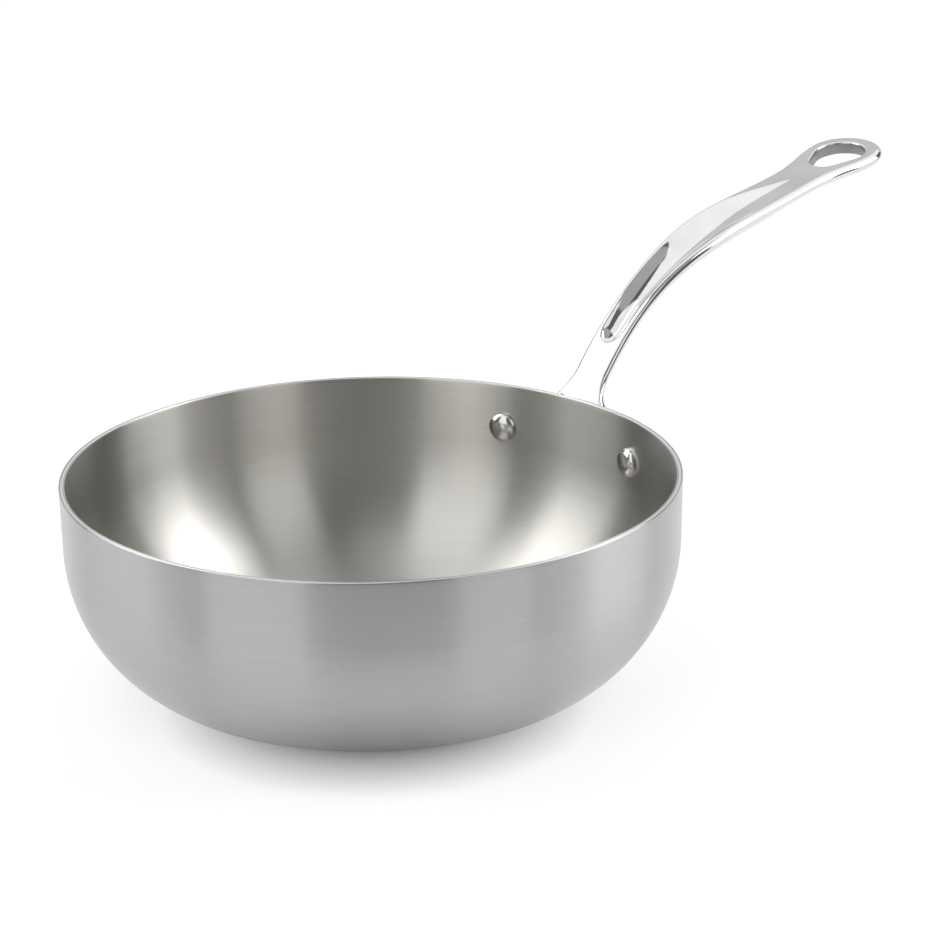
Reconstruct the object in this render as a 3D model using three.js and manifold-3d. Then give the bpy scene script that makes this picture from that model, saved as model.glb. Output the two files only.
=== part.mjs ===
// Deep saute pan: a three-ply bowl with rounded sides and a cast handle held by two rivets.
// Millimetres, +Z up. The origin is the middle of the flat base and the handle runs along +X.
import * as THREE from "three";
import { mergeVertices } from "three/addons/utils/BufferGeometryUtils.js";
import Module from "manifold-3d";

const degrees = THREE.MathUtils.degToRad;

// Bowl
const rimBore = 238; // across the rim, inside
const panHeight = 82; // from the base to the rim
const innerPly = 0.5; // steel skin on the cooking side
const corePly = 1.3; // aluminium between the skins
const outerPly = 0.5; // steel skin outside
const bondLine = 0.02; // between one ply and the next
const wallLean = degrees(1.2); // the wall opens towards the rim
const sideRadius = 64; // outside, the large round below the wall
const heelRadius = 20; // outside, the small round that runs into the base
const heelAngle = degrees(59); // how far the large round turns under

// Rivets
const rivetSpacing = 70; // straight across, between the two axes
const rivetDrop = 18.2; // axis below the rim
const shankDiameter = 6;
const headDiameter = 12.5; // domed head inside the pan
const headHeight = 3.2;
const tailDiameter = 10.5; // formed head outside the flange
const tailHeight = 2.4;
const rivetClearance = 0.3; // around the shank, and under both heads

// Handle flange
const flangeThickness = 4.5;
const flangeHeight = 29; // centred on the rivets
const earMargin = 8.5; // metal beyond each rivet axis
const earRadius = 9; // corners of the ears
const seatGap = 0.3; // between flange and wall
const flareRadius = 14; // from the flange's top edge into the neck
const flareInset = 0.25; // the flare ends just inside the neck's sides

// Handle arm
const handleReach = 192.5; // from the rim to the tip
const bendReach = 98.3; // from the rim to where the arm runs straight
const bendRise = 55; // from the rim up to the arm's middle there
const neckStand = 4.35; // from the rim out to the arm's middle
const leaveHeight = 10; // how far below the rim the arm starts to leave the wall
const neckAngle = degrees(52); // climb just above the rim
const gripAngle = degrees(8.7); // climb of the straight part
const neckPull = 26.5; // how long the neck keeps its climb
const gripPull = 55; // how early the bend settles into the straight
const neckReach = 23.3; // place of the narrow neck
const neckWidth = 16.6;
const neckThickness = 5.5;
const gripInset = 95; // from the tip back to the widest part of the grip
const gripWidth = 26.2;
const gripThickness = 6.8;
const waistInset = 50; // from the tip back to the waist
const waistWidth = 23.8;
const waistThickness = 5.4;
const eyeInset = 15.5; // from the tip back to the widest part of the eye
const eyeWidth = 34.3;
const eyeThickness = 5.4;
const neckRound = 1; // rounded top edges at the neck
const gripRound = 2.1; // the same along the grip
const eyeRound = 2.3; // the same around the eye
const underRound = 6; // how far the underside's round reaches in along the arm
const eyeUnder = 3.5; // the same around the eye
const thinRound = 0.98; // share of the half thickness that a rounded edge may take
const narrowRound = 0.9; // share of the half width that it or the underside may take
const plainTop = 0.1; // share of the half width that the scoop's points keep where there is no scoop
const rootWidth = 12; // the arm's root at the flange's lower edge
const rootProud = 0.4; // how far that root stands off the flange

// Thumb scoop and hanging hole
const scoopReach = 19.8; // from the rim to the round lower end
const scoopInset = 53; // from the tip back to the pointed upper end
const scoopTaper = 40; // length over which the upper end narrows
const scoopFade = 80; // length over which it grows shallow
const scoopDepth = 3.4;
const scoopLand = 0.5; // flat left between scoop and rounded edge
const holeLength = 28.2;
const holeWide = 22; // diameter at the outer end
const holeNarrow = 14; // diameter at the inner end
const eyeWall = 7.5; // metal between the hole and the tip

// Facets
const turnSteps = 48; // around the bowl
const sideSteps = 6; // on the large round
const heelSteps = 3; // on the small round
const rivetSteps = 20;
const domeSteps = 4;
const holeSteps = 10;
const earSteps = 5;
const cornerSteps = 4;
const scoopSteps = 6;
const rootStations = [0, 0.3, 0.6, 0.85]; // shares of the way from the flange's foot to the rim
const flareStations = [-0.25, 0.02, 0.12, 0.25, 0.45, 0.7, 0.95]; // shares of the flare's radius
const bendStations = [
  0.05, 0.12, 0.19, 0.25, 0.276, 0.293, 0.315, 0.35, 0.41, 0.48, 0.56, 0.64, 0.72, 0.8, 0.9, 1,
]; // shares of the bend
const straightSteps = 10;
const eyeStations = [22, 42, 58, 71, 80, 86].map(degrees); // around the rounded tip
const weldGap = 1e-4; // corners closer than this are one

const wallThickness = innerPly + corePly + outerPly + 2 * bondLine;
const rimRadius = rimBore / 2 + wallThickness / Math.cos(wallLean);
const tipPlace = rimRadius + handleReach;

const wasm = await Module();
wasm.setup();

// A closed geometry as a solid that can be joined and cut.
function toSolid(geometry) {
  const bare = geometry.clone();
  bare.deleteAttribute("normal");
  bare.deleteAttribute("uv");
  const welded = mergeVertices(bare, weldGap);
  const corners = welded.index.array;
  const triVerts = [];
  for (let i = 0; i < corners.length; i += 3) {
    const [a, b, c] = [corners[i], corners[i + 1], corners[i + 2]];
    if (a !== b && b !== c && c !== a) triVerts.push(a, b, c);
  }
  return new wasm.Manifold(
    new wasm.Mesh({
      numProp: 3,
      vertProperties: Float32Array.from(welded.attributes.position.array),
      triVerts: Uint32Array.from(triVerts),
    }),
  );
}

function toGeometry(solid) {
  const mesh = solid.getMesh();
  const geometry = new THREE.BufferGeometry();
  geometry.setAttribute("position", new THREE.BufferAttribute(mesh.vertProperties, 3));
  geometry.setIndex(new THREE.BufferAttribute(mesh.triVerts, 1));
  geometry.computeVertexNormals();
  return geometry;
}

// Turns a profile of [radius, height] points about the Z axis.
function revolve(profile, steps) {
  const points = profile.map(([radius, height]) => new THREE.Vector2(radius, height));
  return new THREE.LatheGeometry(points, steps).rotateX(Math.PI / 2);
}

function arc(centre, radius, from, to, steps) {
  const points = [];
  for (let i = 0; i <= steps; i += 1) {
    const angle = from + ((to - from) * i) / steps;
    points.push([centre[0] + radius * Math.cos(angle), centre[1] - radius * Math.sin(angle)]);
  }
  return points;
}

// The bowl's section from the middle of the base to the rim, moved in by inset from its outside.
const roundsApart = sideRadius - heelRadius;
const sideCentreZ = heelRadius + roundsApart * Math.sin(heelAngle);
const wallFootZ = sideCentreZ - sideRadius * Math.sin(wallLean);
const wallFootRadius = rimRadius - (panHeight - wallFootZ) * Math.tan(wallLean);
const sideCentre = [wallFootRadius - sideRadius * Math.cos(wallLean), sideCentreZ];
const heelCentre = [sideCentre[0] + roundsApart * Math.cos(heelAngle), heelRadius];

function wallRadius(height, inset) {
  return rimRadius - inset / Math.cos(wallLean) - (panHeight - height) * Math.tan(wallLean);
}

function bowlSection(inset, top = panHeight) {
  const heel = arc(heelCentre, heelRadius - inset, Math.PI / 2, heelAngle, heelSteps);
  const side = arc(sideCentre, sideRadius - inset, heelAngle, wallLean, sideSteps);
  return [[0, inset], ...heel, ...side.slice(1), [wallRadius(top, inset), top]];
}

// Everything inside one section of the bowl, up to a height.
function bowlPlug(inset, top) {
  return toSolid(revolve([...bowlSection(inset, top), [0, top]], turnSteps));
}

function plyGeometry(outside, inside) {
  const section = [...bowlSection(outside), ...bowlSection(inside).reverse()];
  return revolve(section, turnSteps);
}

// Rivets stand square to the wall: local +X points out of the pan and zero is the wall's outside.
const rivetHeight = panHeight - rivetDrop;
const rivetTurn = Math.asin(rivetSpacing / 2 / wallRadius(rivetHeight, 0));
const rivetSides = [
  { name: "rivet_left", turn: rivetTurn },
  { name: "rivet_right", turn: -rivetTurn },
];

function rivetGroup(turn) {
  const radius = wallRadius(rivetHeight, 0);
  const group = new THREE.Group();
  group.position.set(radius * Math.cos(turn), radius * Math.sin(turn), rivetHeight);
  group.rotation.set(0, wallLean, turn, "ZYX");
  group.updateMatrixWorld();
  return group;
}

// A dome of [radius, height] points from its rim to its top on the axis.
function dome(rim, height, seat, direction) {
  const ball = (rim * rim + height * height) / (2 * height);
  const reach = Math.asin(Math.min(1, rim / ball));
  const points = [];
  for (let i = 0; i <= domeSteps; i += 1) {
    const angle = reach * (1 - i / domeSteps);
    points.push([ball * Math.sin(angle), seat + direction * (ball * Math.cos(angle) - ball + height)]);
  }
  points[domeSteps][0] = 0;
  return points;
}

// How far the faceted wall comes up towards a flat head's edge.
function bowUnder(diameter) {
  const radius = wallRadius(rivetHeight, wallThickness);
  const bow = radius - Math.sqrt(radius ** 2 - (diameter / 2) ** 2);
  return bow + radius * (1 - Math.cos(Math.PI / turnSteps));
}

function rivetGeometry() {
  const headSeat = -wallThickness - bowUnder(headDiameter) - rivetClearance;
  const tailSeat = seatGap + flangeThickness + rivetClearance;
  const shank = shankDiameter / 2;
  const section = [
    ...dome(headDiameter / 2, headHeight, headSeat, -1).reverse(),
    [shank, headSeat],
    [shank, tailSeat],
    ...dome(tailDiameter / 2, tailHeight, tailSeat, 1),
  ];
  const points = section.map(([radius, along]) => new THREE.Vector2(radius, along));
  return new THREE.LatheGeometry(points, rivetSteps).rotateZ(-Math.PI / 2);
}

// The holes that both rivets need, right through wall and flange.
function rivetHoles() {
  const radius = shankDiameter / 2 + rivetClearance;
  const length = 4 * (wallThickness + flangeThickness + headDiameter);
  const holes = rivetSides.map(({ turn }) => {
    const drill = new THREE.CylinderGeometry(radius, radius, length, rivetSteps).rotateZ(-Math.PI / 2);
    return toSolid(drill.applyMatrix4(rivetGroup(turn).matrixWorld));
  });
  return holes[0].add(holes[1]);
}

// Eased value between stations of [place, value], level at each station.
function easeThrough(stations, place) {
  const last = stations.length - 1;
  if (place <= stations[0][0]) return stations[0][1];
  for (let i = 0; i < last; i += 1) {
    const [from, low] = stations[i];
    const [to, high] = stations[i + 1];
    if (place <= to) {
      const turn = (Math.PI * (place - from)) / (to - from);
      return low + ((high - low) * (1 - Math.cos(turn))) / 2;
    }
  }
  return stations[last][1];
}

// The arm's middle line above the rim: a bend, then a straight run to the tip.
const neckStart = new THREE.Vector3(rimRadius + neckStand, 0, panHeight);
const bendEnd = new THREE.Vector3(rimRadius + bendReach, 0, panHeight + bendRise);
const neckRun = new THREE.Vector3(Math.cos(neckAngle), 0, Math.sin(neckAngle)).multiplyScalar(neckPull);
const gripRun = new THREE.Vector3(Math.cos(gripAngle), 0, Math.sin(gripAngle)).multiplyScalar(gripPull);
const bendLine = new THREE.CubicBezierCurve3(
  neckStart,
  neckStart.clone().add(neckRun),
  bendEnd.clone().sub(gripRun),
  bendEnd,
);

function straightPoint(place) {
  const run = place - bendEnd.x;
  return { x: place, z: bendEnd.z + run * Math.tan(gripAngle), angle: gripAngle };
}

const eyePlace = tipPlace - eyeInset;
const widths = [
  [rimRadius + neckReach, neckWidth],
  [tipPlace - gripInset, gripWidth],
  [tipPlace - waistInset, waistWidth],
  [eyePlace, eyeWidth],
];
const thicknesses = [
  [rimRadius + neckReach, neckThickness],
  [tipPlace - gripInset, gripThickness],
  [tipPlace - waistInset, waistThickness],
  [eyePlace, eyeThickness],
];
const rounds = [
  [rimRadius + neckReach, neckRound],
  [tipPlace - gripInset, gripRound],
  [eyePlace, eyeRound],
];
const unders = [
  [tipPlace - waistInset, underRound],
  [eyePlace, eyeUnder],
];

// Shares of the scoop's full width and depth at a place: round at its lower end, pointed at its upper end.
function scoopShares(place, half) {
  const start = rimRadius + scoopReach;
  const end = tipPlace - scoopInset;
  if (place <= start || place >= end) return { wide: 0, deep: 0 };
  const into = Math.min(1, (place - start) / half);
  const lower = Math.sqrt(1 - (1 - into) ** 2);
  const taper = Math.min(1, (end - place) / scoopTaper);
  return { wide: lower * (1 - (1 - taper) ** 2), deep: lower * Math.min(1, (end - place) / scoopFade) };
}

// One section of the arm as [across, up] points: rounded top edges, a hollow top and a rounded underside.
function armSection(width, thickness, edge, scoop) {
  const half = width / 2;
  const up = thickness / 2;
  const round = Math.min(edge.round, up * thinRound, half * narrowRound);
  const under = Math.min(edge.under, half * narrowRound);
  const turns = [...Array(cornerSteps + 1).keys()];
  const points = [];
  const corner = (across, wide, high, from, steps) => {
    for (const i of steps) {
      const angle = from + (Math.PI / 2) * (i / cornerSteps);
      points.push([across + wide * Math.cos(angle), up - round + high * Math.sin(angle)]);
    }
  };
  corner(half - round, round, round, 0, turns);
  const hollow = Math.max(scoop.half, half * plainTop);
  for (let i = 0; i <= scoopSteps; i += 1) {
    const share = 1 - (2 * i) / scoopSteps;
    points.push([hollow * share, up - scoop.depth * (1 - share * share)]);
  }
  corner(round - half, round, round, Math.PI / 2, turns);
  corner(under - half, under, thickness - round, Math.PI, turns.slice(1));
  corner(half - under, under, thickness - round, 1.5 * Math.PI, turns.slice(0, -1));
  return points;
}

// Sections set square to the middle line; bow bends a section around the bowl's axis.
function placeSection(points, at, bow) {
  return points.map(([across, up]) => {
    const wrap = bow * (rimRadius - Math.sqrt(rimRadius ** 2 - across ** 2));
    return [at.x - up * Math.sin(at.angle) - wrap, across, at.z + up * Math.cos(at.angle)];
  });
}

// A closed solid through a row of rings that all have as many points.
function loft(rings) {
  const count = rings[0].length;
  const ends = [rings[0], rings[rings.length - 1]].map((ring) =>
    [0, 1, 2].map((axis) => ring.reduce((sum, point) => sum + point[axis], 0) / count),
  );
  const index = [];
  const first = rings.length * count;
  for (let k = 0; k < count; k += 1) {
    const next = (k + 1) % count;
    for (let r = 0; r + 1 < rings.length; r += 1) {
      const [a, b, c, d] = [r * count + k, r * count + next, (r + 1) * count + next, (r + 1) * count + k];
      index.push(a, b, c, a, c, d);
    }
    const top = (rings.length - 1) * count;
    index.push(first, next, k, first + 1, top + k, top + next);
  }
  const geometry = new THREE.BufferGeometry();
  const positions = [...rings, ends].flat(2);
  geometry.setAttribute("position", new THREE.Float32BufferAttribute(positions, 3));
  geometry.setIndex(index);
  return geometry;
}

const flangeTop = panHeight - rivetDrop + flangeHeight / 2;
const flangeFoot = flangeTop - flangeHeight;

const noScoop = { half: 0, depth: 0 };
const rootEdge = { round: neckRound, under: underRound };

// How far the arm and its flare have left the wall at a height.
function awayFromWall(height) {
  const share = Math.max(0, Math.min(height, panHeight) - panHeight + leaveHeight) / leaveHeight;
  return (neckStand - seatGap - neckThickness / 2) * share ** 2;
}

// The arm's root against the flange: it grows from a narrow foot to the neck.
function rootRings() {
  const foot = flangeFoot + neckRound;
  const footThickness = flangeThickness + rootProud;
  return rootStations.map((share) => {
    const height = foot + (neckStart.z - foot) * share;
    const thickness = footThickness + (neckThickness - footThickness) * share;
    const width = rootWidth + (neckWidth - rootWidth) * share;
    const at = {
      x: wallRadius(height, 0) + seatGap + thickness / 2 + awayFromWall(height),
      z: height,
      angle: Math.PI / 2 - wallLean * (1 - share),
    };
    return placeSection(armSection(width, thickness, rootEdge, noScoop), at, 0);
  });
}

function armRing(at, width) {
  const thickness = easeThrough(thicknesses, at.x);
  const edge = { round: easeThrough(rounds, at.x), under: easeThrough(unders, at.x) };
  const land = Math.max(width / 2 - edge.round - scoopLand, scoopLand);
  const share = scoopShares(at.x, land);
  const scoop = { half: land * share.wide, depth: scoopDepth * share.deep };
  return placeSection(armSection(width, thickness, edge, scoop), at, 0);
}

function armGeometry() {
  const rings = rootRings();
  for (const share of bendStations) {
    const point = bendLine.getPoint(share);
    const slope = bendLine.getTangent(share);
    const at = { x: point.x, z: point.z, angle: Math.atan2(slope.z, slope.x) };
    rings.push(armRing(at, easeThrough(widths, at.x)));
  }
  for (let i = 1; i <= straightSteps; i += 1) {
    const at = straightPoint(bendEnd.x + ((eyePlace - bendEnd.x) * i) / straightSteps);
    rings.push(armRing(at, easeThrough(widths, at.x)));
  }
  for (const turn of eyeStations) {
    const at = straightPoint(eyePlace + eyeInset * Math.sin(turn));
    rings.push(armRing(at, eyeWidth * Math.cos(turn)));
  }
  return loft(rings);
}

// The flare that carries the flange's top edge up into the neck, as thick as the flange.
function flareGeometry() {
  const rings = flareStations.map((share) => {
    const height = flangeTop + flareRadius * share;
    const left = 1 - Math.max(0, share);
    const half = neckWidth / 2 - flareInset + flareRadius * (1 - Math.sqrt(1 - left * left));
    const above = Math.max(0, height - panHeight);
    const seat = wallRadius(height, 0) + seatGap + awayFromWall(height);
    const bent = (Math.PI / 2 - wallLean - neckAngle) * Math.min(1, above / flareRadius);
    const at = {
      x: seat + flangeThickness / 2 + above / Math.tan(neckAngle),
      z: height,
      angle: Math.PI / 2 - wallLean - bent,
    };
    return placeSection(armSection(2 * half, flangeThickness, rootEdge, noScoop), at, left);
  });
  return loft(rings);
}

// The flange: a plate with rounded ears, cut from a shell around the wall.
function flangePlate() {
  const half = rivetSpacing / 2 + earMargin;
  const outline = new THREE.Shape();
  outline.moveTo(earRadius - half, flangeFoot);
  outline.lineTo(half - earRadius, flangeFoot);
  outline.absarc(half - earRadius, flangeFoot + earRadius, earRadius, -Math.PI / 2, 0);
  outline.absarc(half - earRadius, flangeTop - earRadius, earRadius, 0, Math.PI / 2);
  outline.absarc(earRadius - half, flangeTop - earRadius, earRadius, Math.PI / 2, Math.PI);
  outline.absarc(earRadius - half, flangeFoot + earRadius, earRadius, Math.PI, 1.5 * Math.PI);
  const depth = 2 * rimRadius;
  const block = new THREE.ExtrudeGeometry(outline, { depth, bevelEnabled: false, curveSegments: earSteps });
  // The drawing's right becomes +Y, its up +Z, and the extrusion runs along +X.
  block.rotateX(Math.PI / 2).rotateZ(Math.PI / 2);
  return toSolid(block).intersect(bowlPlug(-seatGap - flangeThickness, panHeight + flareRadius));
}

function hangingHole() {
  const wide = holeWide / 2;
  const narrow = holeNarrow / 2;
  const apart = holeLength - wide - narrow;
  const touch = Math.acos((narrow - wide) / apart);
  const outline = new THREE.Shape();
  outline.absarc(0, 0, wide, -touch, touch);
  outline.absarc(-apart, 0, narrow, touch, 2 * Math.PI - touch);
  const depth = 6 * eyeThickness;
  const block = new THREE.ExtrudeGeometry(outline, { depth, bevelEnabled: false, curveSegments: holeSteps });
  const at = straightPoint(tipPlace - eyeWall - wide);
  block.translate(0, 0, -depth / 2).rotateY(-gripAngle).translate(at.x, 0, at.z);
  return toSolid(block);
}

function handleGeometry() {
  const casting = flangePlate().add(toSolid(flareGeometry())).add(toSolid(armGeometry()));
  const seat = bowlPlug(-seatGap, panHeight + flareRadius / 2);
  return toGeometry(casting.subtract(seat).subtract(hangingHole()).subtract(rivetHoles()));
}

const brushedSteel = { color: 0xb9b9b7, roughness: 0.34, metalness: 1 };
const polishedSteel = { color: 0xd9d9d8, roughness: 0.12, metalness: 1 };
const rivetSteel = { color: 0xcfcfcd, roughness: 0.2, metalness: 1 };
const aluminium = { color: 0xc4c6c8, roughness: 0.5, metalness: 1 };

function node(name, geometry, finish) {
  const mesh = new THREE.Mesh(geometry, new THREE.MeshStandardMaterial(finish));
  mesh.name = name;
  return mesh;
}

const pan = new THREE.Group();
const holes = rivetHoles();
const coreOutside = outerPly + bondLine;
const coreInside = coreOutside + corePly;
const plies = [
  { name: "outer_ply", outside: 0, inside: outerPly, finish: brushedSteel },
  { name: "aluminium_core", outside: coreOutside, inside: coreInside, finish: aluminium },
  { name: "inner_ply", outside: coreInside + bondLine, inside: wallThickness, finish: brushedSteel },
];
for (const { name, outside, inside, finish } of plies) {
  pan.add(node(name, toGeometry(toSolid(plyGeometry(outside, inside)).subtract(holes)), finish));
}
pan.add(node("handle", handleGeometry(), polishedSteel));
for (const { name, turn } of rivetSides) {
  const place = rivetGroup(turn);
  place.add(node(name, rivetGeometry(), rivetSteel));
  pan.add(place);
}

export default pan;
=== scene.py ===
import math

import bmesh
import bpy
from mathutils import Matrix, Vector


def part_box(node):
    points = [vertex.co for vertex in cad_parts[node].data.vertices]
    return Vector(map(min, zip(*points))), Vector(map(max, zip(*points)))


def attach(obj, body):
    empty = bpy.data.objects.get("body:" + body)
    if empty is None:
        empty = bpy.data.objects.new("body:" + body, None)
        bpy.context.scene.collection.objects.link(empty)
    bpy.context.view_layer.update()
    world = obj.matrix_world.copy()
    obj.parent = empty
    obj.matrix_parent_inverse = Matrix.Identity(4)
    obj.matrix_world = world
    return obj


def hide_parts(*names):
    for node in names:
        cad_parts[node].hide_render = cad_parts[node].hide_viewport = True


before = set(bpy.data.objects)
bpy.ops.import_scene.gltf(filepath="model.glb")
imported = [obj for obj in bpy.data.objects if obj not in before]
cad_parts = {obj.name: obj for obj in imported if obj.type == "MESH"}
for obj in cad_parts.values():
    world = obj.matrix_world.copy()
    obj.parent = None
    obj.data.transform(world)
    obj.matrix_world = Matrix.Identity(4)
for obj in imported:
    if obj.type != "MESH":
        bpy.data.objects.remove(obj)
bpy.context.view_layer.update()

# Deep saute pan: brushed clad bowl, polished cast handle, two rivets. Metres, base on z = 0, handle along +X.
mm = 0.001
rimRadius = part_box("outer_ply")[1].x
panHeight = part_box("outer_ply")[1].z
print("frame loaded, rim radius", round(rimRadius / mm, 2), "mm")


def ease(share):
    share = min(1.0, max(0.0, share))
    return share * share * (3 - 2 * share)


# value between stations of (place, value), level at each station
def easeThrough(stations, place):
    if place <= stations[0][0]:
        return stations[0][1]
    for (start, low), (end, high) in zip(stations, stations[1:]):
        if place <= end:
            return low + (high - low) * (1 - math.cos(math.pi * (place - start) / (end - start))) / 2
    return stations[-1][1]


def makePiece(name, points, faces, material, node):
    mesh = bpy.data.meshes.new(name)
    mesh.from_pydata(points, [], faces)
    work = bmesh.new()
    work.from_mesh(mesh)
    bmesh.ops.recalc_face_normals(work, faces=work.faces)
    for face in work.faces:
        face.smooth = True
    work.to_mesh(mesh)
    work.free()
    piece = bpy.data.objects.new(name, mesh)
    bpy.context.scene.collection.objects.link(piece)
    mesh.materials.append(material)
    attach(piece, "root")
    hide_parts(node)
    return piece


# turns a section of (radius, height) points about Z; points on the axis become one vertex
def turnAround(section, segments):
    points, faces, rings = [], [], []
    for radius, height in section:
        if radius < 1e-7:
            rings.append([len(points)] * segments)
            points.append((0, 0, height))
            continue
        rings.append(list(range(len(points), len(points) + segments)))
        for k in range(segments):
            angle = 2 * math.pi * k / segments
            points.append((radius * math.cos(angle), radius * math.sin(angle), height))
    for low, high in zip(rings, rings[1:]):
        for k in range(segments):
            nextK = (k + 1) % segments
            corners = []
            for corner in (low[k], low[nextK], high[nextK], high[k]):
                if corner not in corners:
                    corners.append(corner)
            faces.append(corners)
    return points, faces


# materials

def addNode(tree, kind, **settings):
    node = tree.nodes.new(kind)
    for key, value in settings.items():
        setattr(node, key, value)
    return node


def mathNode(tree, operation, first, second=None):
    node = addNode(tree, "ShaderNodeMath", operation=operation)
    for socket, value in zip(node.inputs, (first, second)):
        if value is None:
            continue
        if isinstance(value, (int, float)):
            socket.default_value = value
        else:
            tree.links.new(value, socket)
    return node.outputs[0]


def mapRange(tree, value, low, high, fromLow=0.3, fromHigh=0.7):
    node = addNode(tree, "ShaderNodeMapRange")
    tree.links.new(value, node.inputs["Value"])
    node.inputs["From Min"].default_value = fromLow
    node.inputs["From Max"].default_value = fromHigh
    node.inputs["To Min"].default_value = low
    node.inputs["To Max"].default_value = high
    return node.outputs["Result"]


def mixColour(tree, share, dark, light):
    node = addNode(tree, "ShaderNodeMix", data_type="RGBA")
    tree.links.new(share, node.inputs["Factor"])
    for socket, colour in zip([s for s in node.inputs if s.type == "RGBA"], (dark, light)):
        if isinstance(colour, tuple):
            socket.default_value = (*colour, 1)
        else:
            tree.links.new(colour, socket)
    return [s for s in node.outputs if s.type == "RGBA"][0]


def noise(tree, vector, scale, detail=2.0, roughness=0.5):
    node = addNode(tree, "ShaderNodeTexNoise")
    if vector is not None:
        tree.links.new(vector, node.inputs["Vector"])
    node.inputs["Scale"].default_value = scale
    node.inputs["Detail"].default_value = detail
    node.inputs["Roughness"].default_value = roughness
    return node.outputs[0]


def addBump(tree, shader, height, strength, distance):
    node = addNode(tree, "ShaderNodeBump")
    node.inputs["Strength"].default_value = strength
    node.inputs["Distance"].default_value = distance
    tree.links.new(height, node.inputs["Height"])
    tree.links.new(node.outputs["Normal"], shader.inputs["Normal"])


# a share of one value and the rest of another
def blendValues(tree, first, second, share):
    return mathNode(tree, "ADD", mathNode(tree, "MULTIPLY", first, share),
                    mathNode(tree, "MULTIPLY", second, 1 - share))


def newMetal(name):
    material = bpy.data.materials.new(name)
    material.use_nodes = True
    shader = material.node_tree.nodes["Principled BSDF"]
    shader.inputs["Metallic"].default_value = 1.0
    return material, material.node_tree, shader


# coordinates that run around the pan: long along the brushing, fine across it
def brushVector(tree, place, along, across):
    split = addNode(tree, "ShaderNodeSeparateXYZ")
    tree.links.new(place, split.inputs[0])
    x, y, z = split.outputs
    squares = mathNode(tree, "ADD", mathNode(tree, "MULTIPLY", x, x), mathNode(tree, "MULTIPLY", y, y))
    radius = mathNode(tree, "SQRT", squares)
    safe = mathNode(tree, "MAXIMUM", radius, 0.5 * mm)  # no division by zero on the axis
    join = addNode(tree, "ShaderNodeCombineXYZ")
    tree.links.new(mathNode(tree, "MULTIPLY", mathNode(tree, "DIVIDE", x, safe), along), join.inputs[0])
    tree.links.new(mathNode(tree, "MULTIPLY", mathNode(tree, "DIVIDE", y, safe), along), join.inputs[1])
    tree.links.new(mathNode(tree, "MULTIPLY", mathNode(tree, "ADD", radius, z), across), join.inputs[2])
    return join.outputs[0]


def brushedMetal(name, look):
    material, tree, shader = newMetal(name)
    place = addNode(tree, "ShaderNodeTexCoord").outputs["Object"]
    fine = noise(tree, brushVector(tree, place, look["fineAlong"], look["fineAcross"]), 1.0, 3.0)
    broad = noise(tree, brushVector(tree, place, look["broadAlong"], look["broadAcross"]), 1.0, 2.0)
    cloud = noise(tree, place, look["cloudScale"], 3.0)
    streak = blendValues(tree, fine, broad, look["fineShare"])
    tree.links.new(mixColour(tree, mapRange(tree, streak, 0, 1), look["dark"], look["light"]),
                   shader.inputs["Base Color"])
    worn = blendValues(tree, streak, cloud, look["streakShare"])
    tree.links.new(mapRange(tree, worn, look["roughLow"], look["roughHigh"]), shader.inputs["Roughness"])
    shader.inputs["Anisotropic"].default_value = look["anisotropic"]
    shader.inputs["Anisotropic Rotation"].default_value = 0.25  # spread across the brushing
    tangent = addNode(tree, "ShaderNodeTangent", direction_type="RADIAL", axis="Z")
    tree.links.new(tangent.outputs[0], shader.inputs["Tangent"])
    addBump(tree, shader, streak, look["bump"], look["bumpDepth"])
    return material


outsideLook = {
    "dark": (0.45, 0.45, 0.45), "light": (0.50, 0.50, 0.495),
    "roughLow": 0.29, "roughHigh": 0.34, "anisotropic": 1.0,
    "fineAlong": 6.0, "fineAcross": 2600.0, "broadAlong": 3.0, "broadAcross": 700.0,
    "fineShare": 0.5, "streakShare": 0.6, "cloudScale": 28.0, "bump": 0.04, "bumpDepth": 0.01 * mm,
}
insideLook = dict(outsideLook, dark=(0.55, 0.54, 0.51), light=(0.60, 0.59, 0.56))
coreLook = dict(outsideLook, dark=(0.66, 0.67, 0.68), light=(0.76, 0.77, 0.78), anisotropic=0.4)
outsideSteel = brushedMetal("brushedOutside", outsideLook)
insideSteel = brushedMetal("brushedInside", insideLook)
coreAluminium = brushedMetal("coreEdge", coreLook)

castLook = {
    "dark": (0.64, 0.64, 0.635), "light": (0.70, 0.70, 0.695),
    "roughLow": 0.05, "roughHigh": 0.10, "cloudScale": 60.0, "cloudShare": 0.7,
    "scratchScale": 900.0, "scratchStretch": 0.08,  # polishing marks run along the handle
    "bump": 0.03, "bumpDepth": 0.1 * mm,
    "satinAndShade": (0.30, 0.30, 0.295), "satinRough": 0.45,  # hole walls left unpolished, and their colour darkened as painted shade inside the hole
}


def polishedMetal(name, look):
    material, tree, shader = newMetal(name)
    place = addNode(tree, "ShaderNodeTexCoord").outputs["Object"]
    cloud = noise(tree, place, look["cloudScale"], 4.0)
    stretch = addNode(tree, "ShaderNodeMapping")
    stretch.inputs["Scale"].default_value = (look["scratchStretch"], 1, 1)
    tree.links.new(place, stretch.inputs["Vector"])
    scratch = noise(tree, stretch.outputs[0], look["scratchScale"], 2.0)
    # mask of the hole walls: their satin finish, and their colour darkened as painted shade
    satinAndShade = addNode(tree, "ShaderNodeAttribute", attribute_name="satinAndShade").outputs["Fac"]
    polished = mixColour(tree, mapRange(tree, cloud, 0, 1), look["dark"], look["light"])
    tree.links.new(mixColour(tree, satinAndShade, polished, look["satinAndShade"]), shader.inputs["Base Color"])
    worn = blendValues(tree, cloud, scratch, look["cloudShare"])
    rough = mapRange(tree, worn, look["roughLow"], look["roughHigh"])
    tree.links.new(mathNode(tree, "MAXIMUM", rough, mathNode(tree, "MULTIPLY", satinAndShade, look["satinRough"])),
                   shader.inputs["Roughness"])
    addBump(tree, shader, scratch, look["bump"], look["bumpDepth"])
    return material


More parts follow.
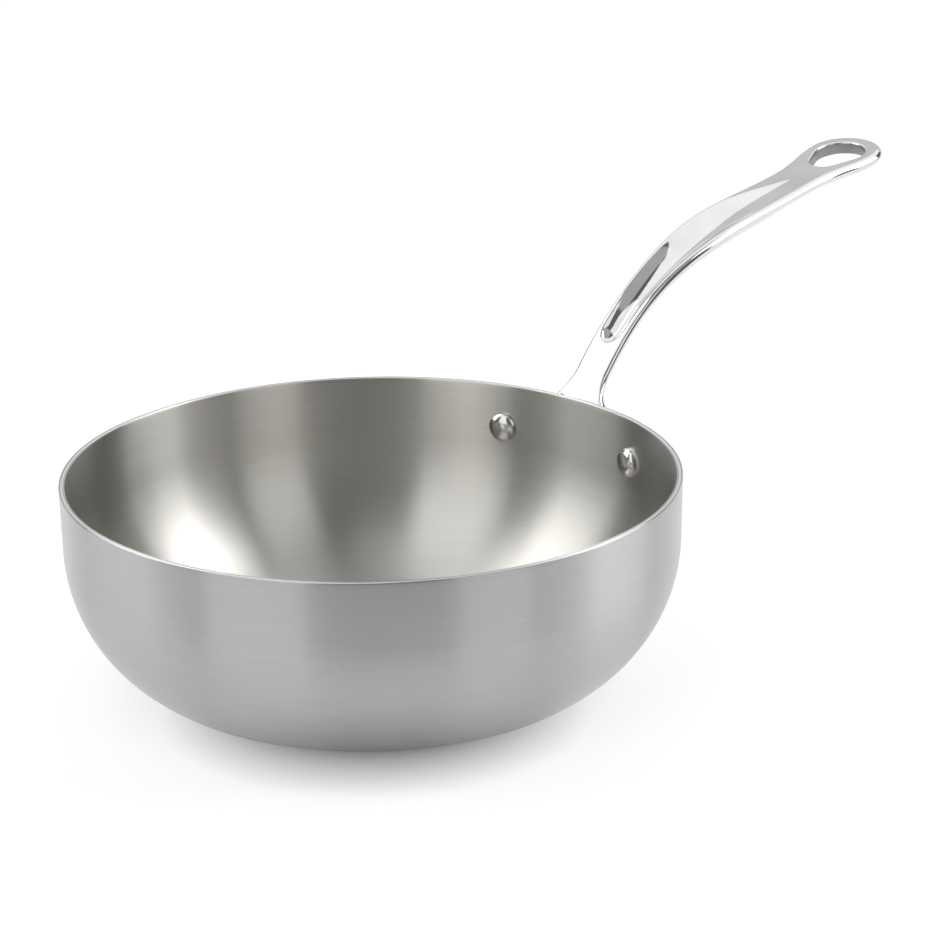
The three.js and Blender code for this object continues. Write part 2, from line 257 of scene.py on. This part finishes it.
castSteel = polishedMetal("polishedCasting", castLook)
rivetLook = dict(castLook, dark=(0.60, 0.60, 0.595), light=(0.70, 0.70, 0.69),
                 roughLow=0.12, roughHigh=0.22)  # tumbled, not polished
rivetSteel = polishedMetal("rivetMetal", rivetLook)
print("materials ready")

# bowl: three plies that share one section

bowl = {
    "outerPly": 0.5 * mm, "corePly": 1.3 * mm, "innerPly": 0.5 * mm, "bondLine": 0.02 * mm,
    "wallLean": math.radians(1.2), "sideRadius": 64 * mm,
    "heelRadius": 20 * mm, "heelAngle": math.radians(59),
    "rimRound": 0.4 * mm, "coreSunk": 0.06 * mm,
    "segments": 288, "sideSteps": 36, "heelSteps": 14,
    "wallSteps": 14, "baseSteps": 8, "roundSteps": 5,
}
wallThickness = bowl["outerPly"] + bowl["corePly"] + bowl["innerPly"] + 2 * bowl["bondLine"]
lean = bowl["wallLean"]
roundsApart = bowl["sideRadius"] - bowl["heelRadius"]
sideCentreZ = bowl["heelRadius"] + roundsApart * math.sin(bowl["heelAngle"])
wallFootZ = sideCentreZ - bowl["sideRadius"] * math.sin(lean)
wallFootRadius = rimRadius - (panHeight - wallFootZ) * math.tan(lean)
sideCentreR = wallFootRadius - bowl["sideRadius"] * math.cos(lean)
heelCentreR = sideCentreR + roundsApart * math.cos(bowl["heelAngle"])


def wallRadius(height, inset=0.0):
    return rimRadius - inset / math.cos(lean) - (panHeight - height) * math.tan(lean)


# the section from the middle of the base up to a height on the wall, moved in by inset
def bowlLine(inset, top):
    line = [(heelCentreR * k / bowl["baseSteps"], inset) for k in range(bowl["baseSteps"])]
    heel, turnUnder = bowl["heelRadius"], bowl["heelAngle"]
    rounds = ((heelCentreR, heel, heel, math.pi / 2, turnUnder, bowl["heelSteps"]),
              (sideCentreR, sideCentreZ, bowl["sideRadius"], turnUnder, lean, bowl["sideSteps"]))
    for centreR, centreZ, outer, start, end, steps in rounds:
        radius = outer - inset
        for k in range(steps):
            angle = start + (end - start) * k / steps
            line.append((centreR + radius * math.cos(angle), centreZ - radius * math.sin(angle)))
    foot = sideCentreZ - (bowl["sideRadius"] - inset) * math.sin(lean)
    for k in range(bowl["wallSteps"] + 1):
        height = foot + (top - foot) * k / bowl["wallSteps"]
        line.append((wallRadius(height, inset), height))
    return line


# a rounded corner at the rim; side is +1 outside and -1 inside
def rimCorner(inset, side, top):
    radius = bowl["rimRound"]
    centre = wallRadius(top, inset) - side * radius
    corner = []
    for k in range(1, bowl["roundSteps"] + 1):
        angle = math.pi / 2 * k / bowl["roundSteps"]
        corner.append((centre + side * radius * math.cos(angle), top - radius + radius * math.sin(angle)))
    return corner


def makePly(name, outside, inside, roundOutside, roundInside, top, material, node):
    drop = bowl["rimRound"]
    section = bowlLine(outside, top - drop if roundOutside else top)
    if roundOutside:
        section += rimCorner(outside, 1, top)
    back = bowlLine(inside, top - drop if roundInside else top)
    if roundInside:
        back += rimCorner(inside, -1, top)
    points, faces = turnAround(section + back[::-1], bowl["segments"])
    makePiece(name, points, faces, material, node)


coreOutside = bowl["outerPly"] + bowl["bondLine"]
coreInside = coreOutside + bowl["corePly"]
makePly("outerSkin", 0, bowl["outerPly"], True, False, panHeight,
        outsideSteel, "outer_ply")
makePly("coreLayer", coreOutside, coreInside, False, False, panHeight - bowl["coreSunk"],
        coreAluminium, "aluminium_core")
makePly("cookingSkin", coreInside + bowl["bondLine"], wallThickness, False, True, panHeight,
        insideSteel, "inner_ply")
print("bowl turned")

# handle: rows of points across a developed outline, laid along a line that climbs the wall and bends away

handle = {
    "rivetSpacing": 70 * mm, "rivetDrop": 18.2 * mm,
    "flangeThickness": 4.5 * mm, "flangeHeight": 29 * mm, "earMargin": 8.5 * mm, "earRadius": 9 * mm,
    "seatGap": 0.3 * mm, "flareRadius": 14 * mm, "flareWidth": 7.8 * mm, "flangeRound": 1.2 * mm,
    "reach": 192.3 * mm, "bendReach": 98.3 * mm, "bendRise": 55 * mm,
    "neckAngle": math.radians(52), "gripAngle": math.radians(8.7),
    "neckPull": 26.5 * mm, "gripPull": 55 * mm,
    "neckStand": 4.35 * mm, "leaveHeight": 4 * mm, "rimSoftness": 2.5 * mm,
    "neckReach": 23.3 * mm, "neckWidth": 16.6 * mm, "neckThickness": 5.5 * mm, "neckRound": 2 * mm,
    "gripInset": 95 * mm, "gripWidth": 26.2 * mm, "gripThickness": 6.8 * mm, "gripRound": 2.1 * mm,
    "waistInset": 50 * mm, "waistWidth": 23.8 * mm, "waistThickness": 5.4 * mm,
    "eyeInset": 15.5 * mm, "eyeWidth": 34.3 * mm, "eyeThickness": 5.4 * mm, "eyeRound": 2.3 * mm,
    "underRound": 6 * mm, "eyeUnder": 3.5 * mm, "edgeLimit": 0.46,  # top edge's share of the thickness
    "rootWidth": 12 * mm, "rootFillet": 5 * mm, "rootOverlap": 2 * mm,
    "mergeBelow": 3 * mm, "mergeAbove": 5 * mm, "wrapMargin": 3 * mm,
    "earDip": 3 * mm, "topDip": 9 * mm, "flareDip": 5.5 * mm,  # how far rows of points dip in the middle
    "scoopReach": 19.8 * mm, "scoopInset": 53 * mm, "scoopTaper": 40 * mm, "scoopFade": 80 * mm,
    "scoopDepth": 3.4 * mm, "scoopLand": 0.5 * mm, "scoopLip": 0.05, "lipFade": 0.35,
    "holeLength": 28.2 * mm, "holeWide": 22 * mm, "holeNarrow": 14 * mm,
    "eyeWall": 7.5 * mm, "holeRound": 0.8 * mm, "eyeChord": 44 * mm,
    "columns": 48, "roundSteps": 7, "eyeSteps": 7, "edgeSteps": 26,
    "cornerSteps": 14, "earSteps": 9, "topSteps": 10, "flareSteps": 24,
    "rowStep": 1.2 * mm, "fineStep": 0.45 * mm, "fineBefore": 4 * mm, "fineAfter": 12 * mm,
    "wallPoints": 33, "bendPoints": 120, "gripPoints": 100, "lineSpare": 4 * mm,
}
tipPlace = rimRadius + handle["reach"]
rivetHeight = panHeight - handle["rivetDrop"]
flangeTop = rivetHeight + handle["flangeHeight"] / 2
flangeFoot = flangeTop - handle["flangeHeight"]
eyePlace = tipPlace - handle["eyeInset"]
neckPlace, gripPlace = rimRadius + handle["neckReach"], tipPlace - handle["gripInset"]
waistPlace = tipPlace - handle["waistInset"]
widths = [(neckPlace, handle["neckWidth"]), (gripPlace, handle["gripWidth"]),
          (waistPlace, handle["waistWidth"]), (eyePlace, handle["eyeWidth"])]
thicknesses = [(neckPlace, handle["neckThickness"]), (gripPlace, handle["gripThickness"]),
               (waistPlace, handle["waistThickness"]), (eyePlace, handle["eyeThickness"])]
edgeRounds = [(neckPlace, handle["neckRound"]), (gripPlace, handle["gripRound"]),
              (eyePlace, handle["eyeRound"])]
underRounds = [(waistPlace, handle["underRound"]), (eyePlace, handle["eyeUnder"])]


def heading(angle):
    return Vector((math.cos(angle), math.sin(angle)))


# the arm's middle line as (x, z) points: up the wall, round the bend, straight past the tip
def middleLine():
    line = []
    start = Vector((rimRadius + handle["neckStand"], panHeight))
    stand = handle["neckStand"] - handle["seatGap"] - handle["neckThickness"] / 2
    leave = handle["leaveHeight"]
    end = Vector((rimRadius + handle["bendReach"], panHeight + handle["bendRise"]))
    one = start + handle["neckPull"] * heading(handle["neckAngle"])
    two = end - handle["gripPull"] * heading(handle["gripAngle"])
    thicker = handle["neckThickness"] - handle["flangeThickness"]
    for k in range(handle["wallPoints"]):
        height = flangeFoot + (panHeight - flangeFoot) * k / handle["wallPoints"]
        share = (height - flangeFoot) / (panHeight - flangeFoot)
        half = (handle["flangeThickness"] + thicker * share) / 2
        away = stand * (max(0.0, height - panHeight + leave) / leave) ** 2
        line.append(Vector((wallRadius(height) + handle["seatGap"] + half + away, height)))
    for k in range(handle["bendPoints"] + 1):
        t = k / handle["bendPoints"]
        near, far = (1 - t) ** 3 * start + t ** 3 * end, (1 - t) * one + t * two
        line.append(near + 3 * (1 - t) * t * far)
    run = tipPlace + handle["lineSpare"] - end.x
    for k in range(1, handle["gripPoints"] + 1):
        line.append(end + Vector((1, math.tan(handle["gripAngle"]))) * run * k / handle["gripPoints"])
    return line


# the same line evenly spaced and with its corner at the rim eased
def evenLine(line, step, softness):
    places = [0.0]
    for a, b in zip(line, line[1:]):
        places.append(places[-1] + (b - a).length)
    even = []
    index = 0
    for k in range(int(places[-1] / step) + 1):
        while places[index + 1] < k * step:
            index += 1
        share = (k * step - places[index]) / (places[index + 1] - places[index])
        even.append(line[index].lerp(line[index + 1], share))
    reach = int(softness / step)
    soft = []
    for k, point in enumerate(even):
        near = min(reach, k, len(even) - 1 - k)
        total = Vector((0, 0))
        for j in range(-near, near + 1):
            total += even[k + j]
        soft.append(total / (2 * near + 1))
    return soft


lineStep = 0.5 * mm
spine = middleLine()
for _ in range(2):
    spine = evenLine(spine, lineStep, handle["rimSoftness"])


# point and climb of the middle line at a length along it
def spineAt(along):
    k = min(max(along / lineStep, 0.0), len(spine) - 2.001)
    low = int(k)
    point = spine[low].lerp(spine[low + 1], k - low)
    before, after = spine[max(0, low - 2)], spine[min(len(spine) - 1, low + 3)]
    slope = (after - before).normalized()
    return point, slope


def alongAt(test):
    for k, point in enumerate(spine):
        if test(point):
            return k * lineStep
    return (len(spine) - 1) * lineStep


flangeTopAlong = alongAt(lambda point: point.y >= flangeTop)
rimAlong = alongAt(lambda point: point.y >= panHeight)
flareAlong = flangeTopAlong + handle["flareRadius"]
eyeAlong = alongAt(lambda point: point.x >= eyePlace)
chordAlong = alongAt(lambda point: point.x >= tipPlace - handle["eyeChord"])
tipAlong = eyeAlong + handle["eyeInset"] / math.cos(handle["gripAngle"])


def midThickness(along):
    point, _ = spineAt(along)
    if along < rimAlong:
        share = along / rimAlong
        return handle["flangeThickness"] + (handle["neckThickness"] - handle["flangeThickness"]) * share
    return easeThrough(thicknesses, point.x)


# how thick the casting is at a place on the outline: a plate with a root that grows into the arm
def thicknessAt(along, across):
    middle = midThickness(along)
    below, above = handle["mergeBelow"], handle["mergeAbove"]
    merge = ease((along - flangeTopAlong + below) / (below + handle["flareRadius"] + above))
    plate = handle["flangeThickness"] + (middle - handle["flangeThickness"]) * merge
    wider = handle["neckWidth"] - handle["rootWidth"]
    half = (handle["rootWidth"] + wider * min(1.0, along / rimAlong)) / 2
    rise = 1 - ease((abs(across) - half + handle["rootOverlap"]) / handle["rootFillet"])
    return plate + (middle - plate) * rise


# depth of the thumb scoop: round at its lower end, narrowing and fading at its upper end
def scoopAt(along, across):
    point, _ = spineAt(along)
    start, end = rimRadius + handle["scoopReach"], tipPlace - handle["scoopInset"]
    if point.x <= start or point.x >= end:
        return 0.0
    land = easeThrough(widths, point.x) / 2 - easeThrough(edgeRounds, point.x) - handle["scoopLand"]
    lower = math.sqrt(1 - (1 - min(1.0, (point.x - start) / land)) ** 2)
    wide = lower * (1 - (1 - min(1.0, (end - point.x) / handle["scoopTaper"])) ** 2)
    deep = lower * min(1.0, (end - point.x) / handle["scoopFade"])
    if wide < 1e-4:
        return 0.0
    hollow = 1 - (across / (land * wide)) ** 2
    lip = handle["scoopLip"]
    soft = (hollow + math.sqrt(hollow * hollow + lip * lip)) / 2
    fade = max(0.0, 1 - max(0.0, -hollow) / handle["lipFade"])
    return handle["scoopDepth"] * deep * soft * fade


# a place on the developed outline, at a depth below the top face, as a point in space
def placeOnHandle(along, across, depth):
    point, slope = spineAt(along)
    half = midThickness(along) / 2
    topX, topZ = point.x - slope.y * half, point.y + slope.x * half
    x, z = topX + slope.y * depth, topZ - slope.x * depth
    margin = handle["wrapMargin"]
    wrap = 1 - ease((along - rimAlong + margin) / (flareAlong - rimAlong + 2 * margin))
    sine = across / topX
    wrapped = Vector((x * math.sqrt(1 - sine * sine), x * sine, z))
    return Vector((x, across, z)).lerp(wrapped, wrap)


# the outline's left half as (across, along) from the flange's foot to the tip, with how far each row dips
def handleOutline():
    half = handle["rivetSpacing"] / 2 + handle["earMargin"]
    ear, neck = handle["earRadius"], handle["neckWidth"] / 2
    flare, flareWidth = handle["flareRadius"], handle["flareWidth"]
    earDip, topDip, flareDip = handle["earDip"], handle["topDip"], handle["flareDip"]
    cornerSteps, flareSteps = handle["cornerSteps"], handle["flareSteps"]
    inner = half - ear
    outline = []
    for k in range(cornerSteps + 1):  # the ear's lower corner
        angle = math.pi / 2 * k / cornerSteps
        outline.append((inner + ear * math.sin(angle), ear * (1 - math.cos(angle)), 0.0))
    for k in range(1, handle["earSteps"]):  # its straight end
        share = k / handle["earSteps"]
        outline.append((half, ear + (flangeTopAlong - 2 * ear) * share, earDip * share))
    for k in range(cornerSteps + 1):  # its upper corner
        angle = math.pi / 2 * k / cornerSteps
        outline.append((inner + ear * math.cos(angle), flangeTopAlong - ear + ear * math.sin(angle),
                        earDip + (topDip - earDip) * math.sin(angle)))
    for k in range(1, handle["topSteps"]):  # the flange's top edge
        share = k / handle["topSteps"]
        outline.append((inner + (neck + flareWidth - inner) * share, flangeTopAlong,
                        topDip + (flareDip - topDip) * share))
    for k in range(flareSteps + 1):  # the flare into the neck
        angle = math.pi / 2 * k / flareSteps
        outline.append((neck + flareWidth * (1 - math.sin(angle)),
                        flangeTopAlong + flare * (1 - math.cos(angle)),
                        flareDip * (1 - k / flareSteps)))
    along = flareAlong
    scoopStart = alongAt(lambda point: point.x >= rimRadius + handle["scoopReach"])
    fineFrom, fineTo = scoopStart - handle["fineBefore"], scoopStart + handle["fineAfter"]
    while along < chordAlong - 0.2 * mm:  # the arm, with closer rows at the scoop's round end
        nearScoop = fineFrom < along < fineTo
        along = min(chordAlong, along + (handle["fineStep"] if nearScoop else handle["rowStep"]))
        point, _ = spineAt(along)
        outline.append((easeThrough(widths, point.x) / 2, along, 0.0))
    return outline


# the eye's free edge from the chord's left end round the tip to its right end
def eyeOutline():
    edge = []
    steps, half = handle["edgeSteps"], handle["eyeWidth"] / 2
    for k in range(steps):
        along = chordAlong + (eyeAlong - chordAlong) * k / steps
        point, _ = spineAt(along)
        edge.append((easeThrough(widths, point.x) / 2, along))
    for k in range(steps + 1):
        angle = math.pi / 2 * k / steps
        edge.append((half * math.cos(angle), eyeAlong + (tipAlong - eyeAlong) * math.sin(angle)))
    return edge + [(-across, along) for across, along in edge[-2::-1]]


# inward direction of an open outline at each point
def inwardNormals(outline):
    normals = []
    for k in range(len(outline)):
        before, after = outline[max(0, k - 1)], outline[min(len(outline) - 1, k + 1)]
        run = Vector((after[0] - before[0], after[1] - before[1])).normalized()
        normals.append(Vector((-run.y, run.x)))
    return normals


# radius of the top edge and reach of the rounded underside
def edgeRoundsAt(along, thickness):
    point, _ = spineAt(along)
    grow = ease((along - flangeTopAlong) / handle["flareRadius"])
    flange = handle["flangeRound"]
    radius = flange + (easeThrough(edgeRounds, point.x) - flange) * grow
    under = flange + (easeThrough(underRounds, point.x) - flange) * grow
    return min(radius, handle["edgeLimit"] * thickness), under


# rounded edge from the top face to the bottom face as (across, along, depth), without its two flat ends
def roundedEdge(edge, inward, radius, under, thickness):
    steps = handle["roundSteps"]
    points = []
    for k in range(1, steps + 1):
        angle = math.pi / 2 * k / steps
        shift = edge + inward * radius * (1 - math.sin(angle))
        points.append((shift.x, shift.y, radius * (1 - math.cos(angle))))
    for k in range(1, steps):
        angle = math.pi / 2 * k / steps
        shift = edge + inward * under * (1 - math.cos(angle))
        points.append((shift.x, shift.y, radius + (thickness - radius) * math.sin(angle)))
    return points


# the same with both corners alike, for the hanging hole
def holeEdge(edge, inward, radius, thickness):
    points = roundedEdge(edge, inward, radius, radius, thickness)[:handle["roundSteps"]]
    return points + [(x, y, thickness - depth) for x, y, depth in points[::-1]]


# the hanging hole as two rounds with straight sides: radii, distance apart, angle where the sides touch
def holeShape():
    wide, narrow = handle["holeWide"] / 2, handle["holeNarrow"] / 2
    apart = handle["holeLength"] - wide - narrow
    touch = math.acos((narrow - wide) / apart)
    return wide, narrow, apart, touch


# from the hole's middle to its edge, at a turn from the tip's direction
def holeReach(turn):
    wide, narrow, apart, touch = holeShape()
    middle = apart / 2
    ray = Vector((math.cos(turn), abs(math.sin(turn))))
    best = 0.0
    for centre, radius in ((middle, wide), (-middle, narrow)):
        near = ray.x * centre
        gap = radius * radius - (centre * centre - near * near)
        if gap >= 0:
            best = max(best, near + math.sqrt(gap))
    face = Vector((math.cos(touch), math.sin(touch)))  # the straight side between the two rounds
    level = wide + face.x * middle
    toward = ray.dot(face)
    if toward > 1e-6:
        reach = level / toward
        slide = (ray * reach).dot(Vector((-face.y, face.x)))
        if abs(slide) <= abs(face.y * middle):
            best = max(best, reach)
    return best


def makeHandle():
    points, faces, spots, walls = [], [], [], []

    def put(along, across, depth):
        points.append(placeOnHandle(along, across, depth))
        spots.append(Vector((across, along)))
        return len(points) - 1

    def bridge(low, high):
        for corners in zip(low, low[1:], high[1:], high):
            faces.append(corners)

    columns = handle["columns"]
    rows = []
    outline = handleOutline()
    for (across, along, dip), inward in zip(outline, inwardNormals(outline)):
        edge = Vector((across, along))
        thickness = thicknessAt(along, across)
        radius, under = edgeRoundsAt(along, thickness)
        flat, flatUnder = edge + inward * radius, edge + inward * under
        top, bottom = [], []
        for k in range(columns + 1):
            share = 1 - 2 * k / columns
            sag = dip * (1 - share * share)
            top.append(put(flat.y - sag, flat.x * share, scoopAt(flat.y - sag, flat.x * share)))
            spot = (flatUnder.y - sag, flatUnder.x * share)
            bottom.append(put(*spot, thicknessAt(*spot)))
        side = roundedEdge(edge, inward, radius, under, thickness)
        left = [put(s, y, depth) for y, s, depth in side]
        right = [put(s, -y, depth) for y, s, depth in side]
        rows.append({"top": top, "bottom": bottom, "left": left, "right": right,
                     "ring": left[::-1] + top + right + bottom[::-1]})
    for low, high in zip(rows, rows[1:]):
        bridge(low["ring"] + low["ring"][:1], high["ring"] + high["ring"][:1])
    foot = rows[0]
    bridge(foot["top"], foot["bottom"])
    faces.append([foot["top"][0], *foot["left"], foot["bottom"][0]])
    faces.append([foot["top"][-1], *foot["right"], foot["bottom"][-1]])

    # eye: spokes run in to the hanging hole from the free edge and from the last row
    last = rows[-1]
    edge = eyeOutline()
    spokes = []
    for k, ((across, along), inward) in enumerate(zip(edge, inwardNormals(edge))):
        if k == 0:
            spokes.append({"top": last["top"][0], "bottom": last["bottom"][0], "side": last["left"]})
        elif k == len(edge) - 1:
            spokes.append({"top": last["top"][-1], "bottom": last["bottom"][-1], "side": last["right"]})
        else:
            thickness = thicknessAt(along, across)
            radius, under = edgeRoundsAt(along, thickness)
            rim = Vector((across, along))
            flat, flatUnder = rim + inward * radius, rim + inward * under
            side = [put(s, y, depth) for y, s, depth in roundedEdge(rim, inward, radius, under, thickness)]
            spokes.append({"top": put(flat.y, flat.x, 0.0),
                           "bottom": put(flatUnder.y, flatUnder.x, thickness), "side": side})
    for low, high in zip(spokes, spokes[1:]):
        bridge([low["top"], *low["side"], low["bottom"]], [high["top"], *high["side"], high["bottom"]])
    spokes += [{"top": last["top"][k], "bottom": last["bottom"][k]} for k in range(columns - 1, 0, -1)]
    wide, _, apart, _ = holeShape()
    holeMiddle = tipAlong - handle["eyeWall"] - wide - apart / 2
    loops = []
    for spoke in spokes:
        start, startUnder = spots[spoke["top"]], spots[spoke["bottom"]]
        turn = math.atan2(start.x, start.y - holeMiddle)
        spokeWay = Vector((math.sin(turn), math.cos(turn)))
        hole = Vector((0, holeMiddle)) + spokeWay * holeReach(turn)
        thickness = thicknessAt(hole.y, hole.x)
        lip = hole + spokeWay * handle["holeRound"]
        loop = [spoke["top"]]
        under = []
        for k in range(1, handle["eyeSteps"] + 1):
            spot = start.lerp(lip, k / handle["eyeSteps"])
            loop.append(put(spot.y, spot.x, 0.0))
            spot = startUnder.lerp(lip, k / handle["eyeSteps"])
            under.append(put(spot.y, spot.x, thicknessAt(spot.y, spot.x)))
        for y, s, depth in holeEdge(hole, spokeWay, handle["holeRound"], thickness):
            loop.append(put(s, y, depth))
            walls.append((loop[-1], ease(depth / handle["holeRound"])))  # satin finish and painted shade below the polished lip
        loops.append(loop + under[::-1] + [spoke["bottom"]])
    for low, high in zip(loops, loops[1:] + loops[:1]):
        bridge(low, high)
    piece = makePiece("castHandle", points, faces, castSteel, "handle")
    # hole walls: satin roughness and painted shade in their colour
    satinAndShade = piece.data.attributes.new("satinAndShade", "FLOAT", "POINT")
    for k, share in walls:
        satinAndShade.data[k].value = share


makeHandle()
print("handle cast")

# rivets: a domed head inside the bowl, a formed head outside the flange

rivet = {
    "headDiameter": 12.5 * mm, "headHeight": 3.2 * mm, "tailDiameter": 10.5 * mm, "tailHeight": 2.4 * mm,
    "shankDiameter": 6 * mm, "sunk": 0.35 * mm, "crown": 2.3, "shoulder": 0.9,
    "domeSteps": 14, "segments": 64,
}


# a crowned head as (radius, along) points from its edge to its middle
def rivetDome(diameter, height, seat, direction):
    points = []
    for k in range(rivet["domeSteps"]):
        angle = math.pi / 2 * k / rivet["domeSteps"]
        radius = diameter / 2 * math.cos(angle) ** (2 / rivet["crown"])
        points.append((radius, seat + direction * height * math.sin(angle) ** rivet["shoulder"]))
    return points + [(0.0, seat + direction * height)]


def makeRivet(name, side, node):
    headSeat = -wallThickness
    tailSeat = handle["seatGap"] + handle["flangeThickness"]
    shank = rivet["shankDiameter"] / 2
    head = rivetDome(rivet["headDiameter"], rivet["headHeight"], headSeat, -1)
    tail = rivetDome(rivet["tailDiameter"], rivet["tailHeight"], tailSeat, 1)
    section = head[::-1] + [(head[0][0], headSeat + rivet["sunk"]), (shank, headSeat + rivet["sunk"]),
                            (shank, tailSeat - rivet["sunk"]), (tail[0][0], tailSeat - rivet["sunk"])] + tail
    points, faces = turnAround(section, rivet["segments"])
    radius = wallRadius(rivetHeight)
    turn = side * math.asin(handle["rivetSpacing"] / 2 / radius)
    place = Matrix.Translation((radius * math.cos(turn), radius * math.sin(turn), rivetHeight))
    place = place @ Matrix.Rotation(turn, 4, "Z") @ Matrix.Rotation(lean + math.pi / 2, 4, "Y")
    points = [place @ Vector(point) for point in points]
    makePiece(name, points, faces, rivetSteel, node)


makeRivet("rivetLeft", 1, "rivet_left")
makeRivet("rivetRight", -1, "rivet_right")
print("rivets set")

# camera, placed as the photograph was taken

view = {
    "distance": 1.5, "lookHeight": 82.12 * mm, "turn": math.radians(-45.3), "pitch": 0.3371,
    "yaw": 0.0272, "roll": -0.0149, "lens": 147.478, "sensor": 36.0,
}
studio = Matrix.Rotation(view["turn"], 3, "Z")  # studio axes: right in the picture, away from it, up


def addCamera():
    data = bpy.data.cameras.new("photoCamera")
    data.lens = view["lens"]
    data.sensor_width = view["sensor"]
    camera = bpy.data.objects.new("photoCamera", data)
    bpy.context.scene.collection.objects.link(camera)
    pitch, yaw, distance = view["pitch"], view["yaw"], view["distance"]
    level, rise = math.cos(pitch), math.sin(pitch)
    place = Vector((0, -distance * level, view["lookHeight"] + distance * rise))
    forward = Vector((math.sin(yaw) * level, math.cos(yaw) * level, -rise))
    right = Vector((math.cos(yaw), -math.sin(yaw), 0))
    up = right.cross(forward)
    tilt = Matrix.Rotation(-view["roll"], 3, forward)
    axes = [studio @ tilt @ axis for axis in (right, up, -forward)]
    camera.matrix_world = Matrix.Translation(studio @ place) @ Matrix(axes).transposed().to_4x4()
    bpy.context.scene.camera = camera


addCamera()
print("camera placed")

# studio: a pale floor that ends in front of the pan, with a painted shadow under it, cards behind the pan,
# soft boxes left, right and above

floor = {
    "width": 7.0, "front": -0.36, "back": 1.9, "colour": (0.40, 0.40, 0.40), "rough": 0.9,
    "glow": 0.66, "paintedShadowGlow": 0.0,  # painted shadow: the glow fades under the pan, from its outer reach to its inner reach around a point just in front of the axis
    "paintedShadowAt": -0.045, "shadowCoreReach": 0.025, "shadowEdgeReach": 0.083,
}
cardColour = (0.05, 0.05, 0.05)
cards = [
    {"name": "paleCard", "left": -2.5, "right": 2.5, "low": 0.0, "high": 0.45, "away": 1.9, "glow": 0.95},
    {"name": "greyCard", "left": -1.6, "right": 1.6, "low": 0.45, "high": 1.15, "away": 1.9, "glow": 0.70},
]
softBoxes = [
    {"name": "topBox", "place": (0, 1.175, 1.25), "aim": (0, 1.10, 0),
     "size": (2.8, 1.65), "power": 16.0},
    {"name": "overBox", "place": (-0.57, -0.11, 1.40), "aim": (-0.54, -0.09, 0),
     "size": (1.46, 0.92), "power": 4.3},
    {"name": "rightTopBox", "place": (0.60, -0.15, 1.40), "aim": (0.56, -0.13, 0),
     "size": (0.80, 1.0), "power": 0.9},
    {"name": "leftBox", "place": (-1.08, 0.20, 0.60), "aim": (0, 0, 0.15),
     "size": (0.75, 0.55), "power": 3.2},
    {"name": "leftTopBox", "place": (-0.95, 0.25, 1.12), "aim": (0, 0, 0.15),
     "size": (0.9, 0.6), "power": 2.5},
    {"name": "rightBox", "place": (1.06, 0.12, 0.75), "aim": (0, 0, 0.2),
     "size": (0.7, 1.15), "power": 8.8},
    {"name": "frontLeftBox", "place": (-0.72, -0.83, 0.75), "aim": (0, 0, 0.5),
     "size": (0.80, 1.5), "power": 4.4},
    {"name": "frontRightBox", "place": (0.73, -0.82, 0.65), "aim": (0, 0, 0.4),
     "size": (0.55, 1.3), "power": 2.2},
]
roomGlow = 0.15


# a sheet from four corners in studio axes
def addSheet(name, corners):
    mesh = bpy.data.meshes.new(name)
    mesh.from_pydata([studio @ Vector(corner) for corner in corners], [], [(0, 1, 2, 3)])
    sheet = bpy.data.objects.new(name, mesh)
    bpy.context.scene.collection.objects.link(sheet)
    material = bpy.data.materials.new(name)
    material.use_nodes = True
    mesh.materials.append(material)
    shader = material.node_tree.nodes["Principled BSDF"]
    shader.inputs["Roughness"].default_value = floor["rough"]
    shader.inputs["Specular IOR Level"].default_value = 0.0
    shader.inputs["Emission Color"].default_value = (1, 1, 1, 1)
    return sheet, material.node_tree, shader


def addFloor():
    half, front, back = floor["width"] / 2, floor["front"], floor["back"]
    corners = [(-half, front, 0), (half, front, 0), (half, back, 0), (-half, back, 0)]
    _, tree, shader = addSheet("paleFloor", corners)
    shader.inputs["Base Color"].default_value = (*floor["colour"], 1)
    path = addNode(tree, "ShaderNodeLightPath")
    seen = mathNode(tree, "ADD", path.outputs["Is Camera Ray"], path.outputs["Is Glossy Ray"])
    seen = mathNode(tree, "MINIMUM", mathNode(tree, "ADD", seen, path.outputs["Is Transmission Ray"]), 1.0)
    # painted shadow: the floor's glow by distance from a point just in front of the pan's axis
    reach = addNode(tree, "ShaderNodeVectorMath", operation="DISTANCE")
    tree.links.new(addNode(tree, "ShaderNodeTexCoord").outputs["Object"], reach.inputs[0])
    reach.inputs[1].default_value = studio @ Vector((0, floor["paintedShadowAt"], 0))
    glow = mapRange(tree, reach.outputs["Value"], floor["paintedShadowGlow"], floor["glow"],
                    floor["shadowCoreReach"], floor["shadowEdgeReach"])
    tree.links.new(mathNode(tree, "MULTIPLY", seen, glow), shader.inputs["Emission Strength"])


# standing cards that the polished handle mirrors
def addCard(card):
    left, right, low, high, away = (card[key] for key in ("left", "right", "low", "high", "away"))
    corners = [(left, away, low), (right, away, low), (right, away, high), (left, away, high)]
    sheet, _, shader = addSheet(card["name"], corners)
    shader.inputs["Base Color"].default_value = (*cardColour, 1)
    shader.inputs["Emission Strength"].default_value = card["glow"]
    sheet.visible_camera = False


def addSoftBox(box):
    data = bpy.data.lights.new(box["name"], "AREA")
    data.shape = "RECTANGLE"
    data.size, data.size_y = box["size"]
    data.energy = box["power"]
    lamp = bpy.data.objects.new(box["name"], data)
    bpy.context.scene.collection.objects.link(lamp)
    place, aim = studio @ Vector(box["place"]), studio @ Vector(box["aim"])
    turn = (aim - place).to_track_quat("-Z", "Y").to_matrix().to_4x4()
    lamp.matrix_world = Matrix.Translation(place) @ turn
    lamp.visible_camera = False


def addRoom():
    world = bpy.data.worlds.new("paleRoom")
    world.use_nodes = True
    back = world.node_tree.nodes["Background"]
    back.inputs["Color"].default_value = (1, 1, 1, 1)
    back.inputs["Strength"].default_value = roomGlow
    bpy.context.scene.world = world


addFloor()
for card in cards:
    addCard(card)
for box in softBoxes:
    addSoftBox(box)
addRoom()
bpy.context.scene.view_settings.view_transform = "Standard"
print("studio lit")
